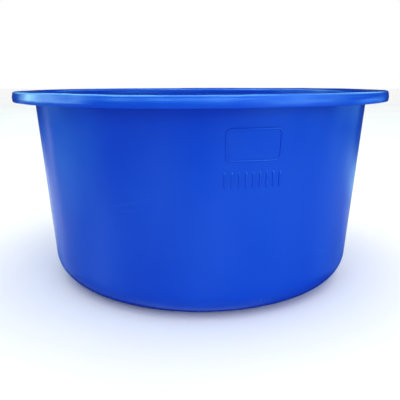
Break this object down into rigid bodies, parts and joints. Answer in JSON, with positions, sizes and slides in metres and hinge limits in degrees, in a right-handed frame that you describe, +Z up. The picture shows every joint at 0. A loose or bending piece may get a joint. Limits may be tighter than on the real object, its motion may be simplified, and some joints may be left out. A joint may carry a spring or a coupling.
{
  "type": "livestock water trough",
  "caption": "Round open moulded plastic tub that holds drinking water for livestock: tapered smooth wall, rounded foot, wide flat rim with a turned-down lip.",
  "frame": {"origin": "centre of the underside, on the ground plane", "axes": "+Z up along the tub's axis; -Y is the front, and the blank marking panel is 14.5 degrees round from the front towards +X"},
  "size_m": [0.7135, 0.7136, 0.36],
  "materials": {
    "tub_plastic": "satin"
  },
  "bodies": {
    "root": {"tub_floor": "tub_plastic", "rounded_foot": "tub_plastic", "side_wall": "tub_plastic", "rim": "tub_plastic", "marking_panel": "tub_plastic"}
  },
  "joints": []
}
